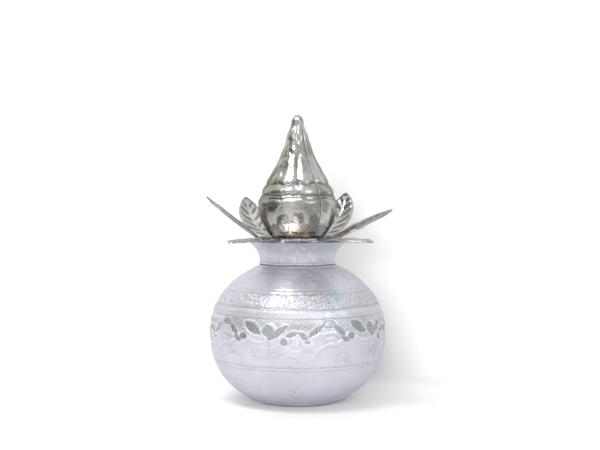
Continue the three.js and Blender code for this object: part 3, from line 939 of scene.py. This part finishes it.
def wear_and_painted_light_group():
    """Dark tarnish that gathers in pressed-in places, and painted shade where a piece is marked dark all
    over; bright worn metal on raised places, and painted highlights where a piece is marked bright.
    """
    inputs = {"Break Up": 0.5, "Noise Scale": 260.0}
    group, given, result = node_group("wear_and_painted_light", inputs, ["Patina", "Rubbed_And_Highlight"])
    where = own_place(group)
    broken = place(group, "TexNoise", {"Vector": where, "Scale": given["Noise Scale"], "Detail": 4.0})
    uneven = reckon(group, "SUBTRACT", broken.outputs["Fac"], 0.5)
    uneven = times(group, uneven, given["Break Up"])
    low = masked(group, "low")
    low = plus(group, low, times(group, uneven, low))
    high = plus(group, masked(group, "high"), uneven)
    wire(group, spread(group, low, 0.1, 0.9), result["Patina"])
    wire(group, spread(group, high, 0.25, 0.9), result["Rubbed_And_Highlight"])


def crease_group():
    """Thin wandering creases and scratches, in patches: 1 on a line and 0 beside it."""
    group, given, result = node_group("creases", {"Crease Scale": 62.0}, ["Creases"])
    where = own_place(group)
    lines = place(group, "TexNoise", {"Vector": where, "Scale": given["Crease Scale"], "Detail": 2.5})
    off_line = reckon(group, "ABSOLUTE", reckon(group, "SUBTRACT", lines.outputs["Fac"], 0.5))
    patch_scale = times(group, given["Crease Scale"], 1.4)
    patches = place(group, "TexNoise", {"Vector": where, "Scale": patch_scale, "Detail": 1.0})
    patch = spread(group, patches.outputs["Fac"], 0.48, 0.6)
    line = spread(group, off_line, 0.011, 0.002)
    wire(group, times(group, line, patch), result["Creases"])


def tint_blotch_group():
    """A blotch with a broken edge round a place, given in metres, used for tarnish, painted shade and painted
    reflections.
    """
    inputs = {"X": 0.0, "Y": 0.0, "Z": 0.0, "Size": 0.01}
    group, given, result = node_group("tint_blotch", inputs, ["Stain"])
    where = own_place(group)
    middle = place(group, "CombineXYZ", {axis: given[axis] for axis in "XYZ"}).outputs[0]
    away = place(group, "VectorMath", {0: where, 1: middle}, operation="DISTANCE").outputs["Value"]
    broken = place(group, "TexNoise", {"Vector": where, "Scale": 190.0, "Detail": 5.0}).outputs["Fac"]
    reach = reckon(group, "DIVIDE", away, given["Size"])
    reach = plus(group, reach, times(group, broken, 1.4))
    wire(group, spread(group, reach, 1.7, 0.7), result["Stain"])


def new_material(name):
    """A material, its node tree and its shader."""
    material = bpy.data.materials.new(name)
    material.use_nodes = True
    return material, material.node_tree, material.node_tree.nodes["Principled BSDF"]


def silver(name, finish, blotches):
    """White metal with grain, tarnish, blotches of tarnish, painted shade and painted reflections, dark lows,
    bright highs and turning marks; painted shade and painted highlights where pieces are marked for them.
    """
    material, tree, shader = new_material(name)
    shader.inputs["Metallic"].default_value = finish["metallic"]
    shader.inputs["Specular Tint"].default_value = finish["edge_tint"]
    sheet = grouped(tree, "beaten_sheet", {"Grain Scale": finish["grain"], "Cloud Scale": finish["clouds"]})
    wear_and_painted_light = grouped(tree, "wear_and_painted_light", {"Break Up": finish["break_up"]})
    speckle = times(tree, masked(tree, "stippled"), sheet["Pits"])
    layers = [(sheet["Patches"], finish["patches"]), (masked(tree, "field"), finish["field"])]
    # Painted shade: each leaf darkened all over by its own share.
    layers.append((masked(tree, "painted_leaf_shade"), finish["painted_leaf_shade"]))
    # Blotches of tarnish, painted shade and painted reflections, each mixed in by its share.
    for (x, y, z), size, share, tint in blotches:
        spot = {"X": x * MM, "Y": y * MM, "Z": z * MM, "Size": size * MM}
        layers.append((grouped(tree, "tint_blotch", spot)["Stain"], (share, tint)))
    layers.append((speckle, finish["speckle"]))
    layers.append((wear_and_painted_light["Patina"], finish["patina_and_shade"]))
    layers.append((wear_and_painted_light["Rubbed_And_Highlight"], finish["rubbed_and_highlight"]))
    layers.append((masked(tree, "edge"), finish["edge"]))
    height = times(tree, masked(tree, "stippled"), finish["stipple"])
    height = times(tree, sheet["Grain"], plus(tree, height, finish["dents"]))
    height = times(tree, height, GRAIN_HEIGHT)
    if finish["turned"]:
        lines = times(tree, grouped(tree, "turning_marks", {})["Lines"], LINE_HEIGHT)
        height = plus(tree, height, lines)
        strokes = times(tree, comb_strokes(tree), masked(tree, "combed"))
        height = reckon(tree, "SUBTRACT", height, times(tree, strokes, COMB_DEPTH))
        layers.append((strokes, finish["combed"]))
        creases = times(tree, grouped(tree, "creases", {})["Creases"], masked(tree, "creased"))
        height = reckon(tree, "SUBTRACT", height, times(tree, creases, CREASE_DEPTH))
        layers.append((creases, finish["creased"]))
    colour = mixed(tree, sheet["Cloud"], finish["tarnished"], finish["clean"])
    for mask, (share, tint) in layers:
        colour = mixed(tree, times(tree, mask, share), colour, (*tint, 1))
    wire(tree, colour, shader.inputs["Base Color"])
    rough = finish["roughness"]
    shine = spread(tree, sheet["Grain"], 0.3, 0.7, rough * 0.75, rough * 1.25)
    polish = times(tree, wear_and_painted_light["Patina"], finish["low_polish"])
    polish = plus(tree, polish, times(tree, masked(tree, "mirror"), 0.1))
    polish = plus(tree, polish, times(tree, masked(tree, "field"), 0.14))
    shine = reckon(tree, "MAXIMUM", reckon(tree, "SUBTRACT", shine, polish), 0.05)
    wire(tree, shine, shader.inputs["Roughness"])
    relief = place(tree, "Bump", {"Height": height, "Distance": 1.0})
    wire(tree, relief.outputs["Normal"], shader.inputs["Normal"])
    return material


def comb_strokes(tree):
    """Upright strokes round the pot, 1 in a stroke and 0 between two."""
    where = own_place(tree)
    turn = round_axis(tree, where)[0]
    wobble = place(tree, "TexNoise", {"Vector": where, "Scale": 320.0}).outputs["Fac"]
    turn = plus(tree, turn, times(tree, wobble, COMB_WOBBLE))
    wave = reckon(tree, "SINE", times(tree, turn, 2 * math.pi * BELLY_RADIUS / COMB_PITCH))
    return spread(tree, wave, 0.0, 0.9)


# Heights of the fine relief, in metres, and the comb's pitch in millimetres and wobble in radians
GRAIN_HEIGHT = 0.00035
LINE_HEIGHT = 0.00006
COMB_DEPTH = 0.00016
CREASE_DEPTH = 0.00022
COMB_PITCH = 1.08
COMB_WOBBLE = 0.016

# Finishes: a layer is a share and a colour
POT_FINISH = {
    "metallic": 0.50,
    "edge_tint": (0.72, 0.72, 0.78, 1),
    "tarnished": (0.55, 0.55, 0.60, 1),
    "clean": (0.64, 0.63, 0.70, 1),
    "patches": (0.30, (0.54, 0.58, 0.62)),
    "field": (0.35, (0.46, 0.47, 0.49)),
    "painted_leaf_shade": (0.0, (0.4, 0.4, 0.4)),
    "speckle": (0.6, (0.18, 0.19, 0.20)),
    # Dark of pressed-in places, also the painted contact shadow on the base.
    "patina_and_shade": (0.66, (0.21, 0.235, 0.245)),
    # Bright worn metal on raised places, also the painted highlights on the collar and the shoulder.
    "rubbed_and_highlight": (0.6, (0.84, 0.84, 0.86)),
    "edge": (0.0, (0.5, 0.4, 0.3)),
    "combed": (0.55, (0.24, 0.26, 0.28)),
    "creased": (0.45, (0.34, 0.34, 0.38)),
    "roughness": 0.42,
    "low_polish": 0.16,
    "stipple": 1.0,
    "dents": 0.14,
    "turned": True,
    "grain": 1100.0,
    "clouds": 34.0,
    "break_up": 0.45,
}
LEAF_FINISH = {
    **POT_FINISH,
    "metallic": 1.0,
    "edge_tint": (0.6, 0.6, 0.6, 1),
    "tarnished": (0.46, 0.45, 0.44, 1),
    "clean": (0.62, 0.61, 0.62, 1),
    "patches": (0.35, (0.44, 0.42, 0.39)),
    "speckle": (0.0, (0.3, 0.3, 0.3)),
    # Painted shade: the dark that each leaf is mixed towards by its own share.
    "painted_leaf_shade": (1.0, (0.22, 0.21, 0.20)),
    "patina_and_shade": (0.8, (0.10, 0.09, 0.08)),
    # Bright worn metal on raised places, also a painted highlight on the coconut's bands.
    "rubbed_and_highlight": (0.25, (0.80, 0.79, 0.78)),
    "edge": (0.7, (0.38, 0.36, 0.33)),
    "roughness": 0.26,
    "low_polish": 0.04,
    "stipple": 0.0,
    "dents": 0.16,
    "turned": False,
    "grain": 600.0,
    "clouds": 70.0,
}
COCONUT_FINISH = {
    **LEAF_FINISH,
    "edge_tint": (0.45, 0.45, 0.44, 1),
    "tarnished": (0.27, 0.26, 0.24, 1),
    "clean": (0.55, 0.55, 0.54, 1),
    "patches": (0.4, (0.27, 0.25, 0.21)),
    # Dark of pressed-in places, also painted shade where the coconut sits in the ring.
    "patina_and_shade": (0.75, (0.10, 0.10, 0.09)),
    "speckle": (0.45, (0.14, 0.14, 0.13)),
    "roughness": 0.20,
    "dents": 0.12,
    "stipple": 0.2,
    "grain": 1500.0,
    "clouds": 55.0,
}

# Blotches of tarnish, painted shade and painted reflections: place in millimetres, size in millimetres, share
# and colour
POT_PAINTED_REFLECTIONS = [
    # Painted reflection: pale blue on the shoulder a little right of the front.
    ((21, -38, 57), 15, 0.5, (0.50, 0.62, 0.68)),
    # Painted reflection: pale blue on the collar right of the front.
    ((17, -15, 86), 9, 0.5, (0.48, 0.60, 0.68)),
    # Painted reflection: grey at the neck's foot in front.
    ((-5, -21, 79), 6, 0.35, (0.36, 0.37, 0.40)),
]
# Painted shade: dark brown at the root of the right leaf.
LEAF_PAINTED_SHADE = [((29, 5, 95), 11, 0.85, (0.15, 0.10, 0.04))]
COCONUT_TARNISH_AND_PAINTED_LIGHT = [
    # Dark brown low on the left flank: tarnish, and painted shade.
    ((-19, -9, 107), 15, 0.55, (0.20, 0.15, 0.10)),
    # Dark olive on the left of the spire: tarnish, and painted shade.
    ((-15, -14, 122), 12, 0.6, (0.20, 0.19, 0.10)),
    # Painted reflection: dark green on the front of the spire.
    ((5, -13, 132), 7, 0.5, (0.24, 0.34, 0.28)),
    # Painted shade: dark on the left of the spire, dimming its highlight.
    ((-9, -10, 138), 11, 0.55, (0.24, 0.23, 0.16)),
    # Painted reflection: light grey right of the seam.
    ((12, -9, 130), 12, 0.6, (0.74, 0.74, 0.74)),
    # Painted reflection: light grey low on the front, where the front leaf is mirrored.
    ((0, -21, 101), 8, 0.7, (0.74, 0.71, 0.67)),
    # Painted reflection: warm tan lowest on the front, where the front leaf is mirrored.
    ((0, -15, 95), 9, 0.7, (0.66, 0.54, 0.42)),
]

# Stage
FLOOR_COLOUR = (0.92, 0.92, 0.92, 1)
WALL_BEHIND = 0.085
COVE_RADIUS = 0.030
STAGE_SIZE = 3.0
FLOOR_GLOW = 0.07
WALL_GLOW = 0.0
WORLD_LEVEL = 0.12


def stage():
    """A pale floor that curves up into a pale wall. The wall can't be seen from behind."""
    bm = bmesh.new()
    line = [(-STAGE_SIZE, 0)]
    for angle in np.linspace(-90, 0, 17):
        lean = math.radians(angle)
        out = WALL_BEHIND - COVE_RADIUS * (1 - math.cos(lean))
        line.append((out, COVE_RADIUS * (1 + math.sin(lean))))
    line.append((WALL_BEHIND, STAGE_SIZE))
    verts = [bm.verts.new((-STAGE_SIZE, y, z)) for y, z in line]
    edges = [bm.edges.new(pair) for pair in zip(verts, verts[1:])]
    grown = bmesh.ops.extrude_edge_only(bm, edges=edges)["geom"]
    moved = [part for part in grown if isinstance(part, bmesh.types.BMVert)]
    bmesh.ops.translate(bm, verts=moved, vec=(2 * STAGE_SIZE, 0, 0))
    bmesh.ops.recalc_face_normals(bm, faces=bm.faces)
    if sum(face.normal.z * face.calc_area() for face in bm.faces) < 0:
        bmesh.ops.reverse_faces(bm, faces=bm.faces)
    mesh = mesh_of("stage", bm)
    mesh.shade_smooth()
    mesh.materials.append(stage_paint())
    added("stage", mesh)


def stage_paint():
    """Pale paint that shows a little brighter on the floor than on the wall, and clear from behind."""
    material, tree, shader = new_material("stage")
    shader.inputs["Base Color"].default_value = FLOOR_COLOUR
    shader.inputs["Roughness"].default_value = 1.0
    shader.inputs["Specular IOR Level"].default_value = 0.0
    shader.inputs["Emission Color"].default_value = (1, 1, 1, 1)
    facing = place(tree, "NewGeometry").outputs
    upwards = place(tree, "SeparateXYZ", {0: facing["Normal"]}).outputs["Z"]
    glow = spread(tree, upwards, 0, 1, WALL_GLOW, FLOOR_GLOW)
    wire(tree, times(tree, seen(tree), glow), shader.inputs["Emission Strength"])
    clear = place(tree, "BsdfTransparent").outputs[0]
    either = place(tree, "MixShader", {0: facing["Backfacing"], 1: shader.outputs[0], 2: clear})
    wire(tree, either.outputs[0], tree.nodes["Material Output"].inputs["Surface"])
    return material


def seen(tree):
    """1 for what the camera, a reflection or glass sees, and 0 for light on other surfaces."""
    path = place(tree, "LightPath").outputs
    either = reckon(tree, "MAXIMUM", path["Is Camera Ray"], path["Is Glossy Ray"])
    return reckon(tree, "MAXIMUM", either, path["Is Transmission Ray"])


def world():
    """White to the camera and in reflections, and plain pale light on the object."""
    studio = bpy.data.worlds.new("studio")
    bpy.context.scene.world = studio
    studio.use_nodes = True
    tree = studio.node_tree
    background = tree.nodes["Background"]
    background.inputs["Color"].default_value = (1, 1, 1, 1)
    wire(tree, spread(tree, seen(tree), 0, 1, WORLD_LEVEL, 1.0), background.inputs["Strength"])


def card(name, middle, width, height, turn, grey):
    """A grey upright card beside the object that shows only in its reflections."""
    bm = bmesh.new()
    bmesh.ops.create_grid(bm, x_segments=1, y_segments=1, size=0.5)
    bmesh.ops.scale(bm, vec=(width, height, 1), verts=bm.verts)
    bmesh.ops.rotate(bm, matrix=Matrix.Rotation(math.pi / 2, 3, "X"), verts=bm.verts)
    bmesh.ops.rotate(bm, matrix=Matrix.Rotation(math.radians(turn), 3, "Z"), verts=bm.verts)
    bmesh.ops.translate(bm, vec=middle, verts=bm.verts)
    obj = added(name, mesh_of(name, bm))
    material, _, shader = new_material(name)
    shader.inputs["Base Color"].default_value = (grey, grey, grey, 1)
    obj.data.materials.append(material)
    obj.visible_camera = False
    obj.visible_diffuse = False
    obj.visible_shadow = False


def lamp(name, where, target, width, height, power):
    light = bpy.data.lights.new(name, "AREA")
    light.shape = "RECTANGLE"
    light.size = width
    light.size_y = height
    light.energy = power
    obj = added(name, light)
    obj.location = where
    obj.rotation_euler = (Vector(target) - Vector(where)).to_track_quat("-Z", "Y").to_euler()
    return obj


def camera():
    data = bpy.data.cameras.new("camera")
    data.lens = LENS
    obj = added("camera", data)
    obj.location = (CAMERA_ASIDE, -CAMERA_DISTANCE, CAMERA_HEIGHT)
    obj.rotation_euler = (math.pi / 2 - CAMERA_PITCH, 0, 0)
    bpy.context.scene.camera = obj


camera()
stage()
world()
lamp("softbox", (-0.22, -0.30, 0.70), (0, 0, 0.07), 0.40, 0.20, 2.5)
lamp("fill", (0.50, -0.60, 0.40), (0, 0, 0.08), 0.18, 0.30, 0.9)
low_lamp = lamp("low_lamp", (-0.28, -1.42, 0.40), (0, 0.05, 0.07), 0.75, 0.55, 15.0)
low_lamp.visible_glossy = False
card("card_left", (-0.45, -0.12, 0.14), 0.50, 0.60, 75, 0.14)
card("card_right", (0.50, -0.02, 0.14), 0.25, 0.60, -80, 0.45)

beaten_group()
turning_group()
wear_and_painted_light_group()
crease_group()
tint_blotch_group()
pot_silver = silver("pot_silver", POT_FINISH, POT_PAINTED_REFLECTIONS)
leaf_silver = silver("leaf_silver", LEAF_FINISH, LEAF_PAINTED_SHADE)
coconut_silver = silver("coconut_silver", COCONUT_FINISH, COCONUT_TARNISH_AND_PAINTED_LIGHT)

base(pot_silver)
belly(pot_silver)
shoulder(pot_silver)
collar(pot_silver)
ring(leaf_silver)
for name, turn, lift, curl, painted_leaf_shade, cupped in LEAVES:
    leaf(name, turn, lift, curl, painted_leaf_shade, cupped, leaf_silver)
coconut(coconut_silver)

bpy.context.scene.view_settings.view_transform = "Standard"
